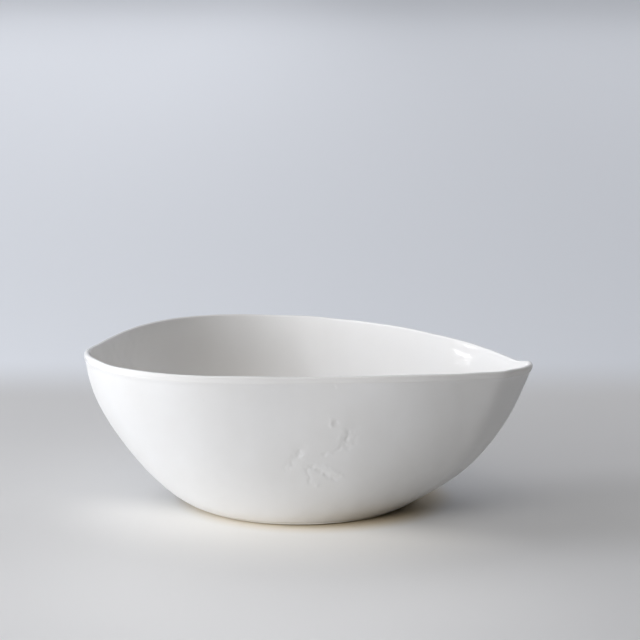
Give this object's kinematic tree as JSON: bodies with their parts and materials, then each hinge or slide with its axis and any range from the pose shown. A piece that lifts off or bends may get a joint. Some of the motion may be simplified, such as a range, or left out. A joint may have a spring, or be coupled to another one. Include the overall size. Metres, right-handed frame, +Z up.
{
  "type": "porcelain serving bowl",
  "caption": "Drop-shaped porcelain serving bowl with a pinched pour tip, rounded lip and flat foot; gloss glaze inside and over the lip, satin glaze outside, bare clay foot.",
  "frame": {"origin": "centre of the bounding box's bottom face, on the table plane that the foot rests on", "axes": "+Z up; +X along the length, towards the pour tip; +Y across the width"},
  "size_m": [0.2922, 0.2302, 0.102],
  "materials": {
    "bare_porcelain": "bare fired porcelain, dry and smooth",
    "gloss_liner_glaze": "clear gloss over white",
    "satin_outer_glaze": "satin white, slightly uneven"
  },
  "bodies": {
    "root": {"porcelain_body": "bare_porcelain", "liner_glaze": "gloss_liner_glaze", "outer_glaze": "satin_outer_glaze"}
  },
  "joints": []
}
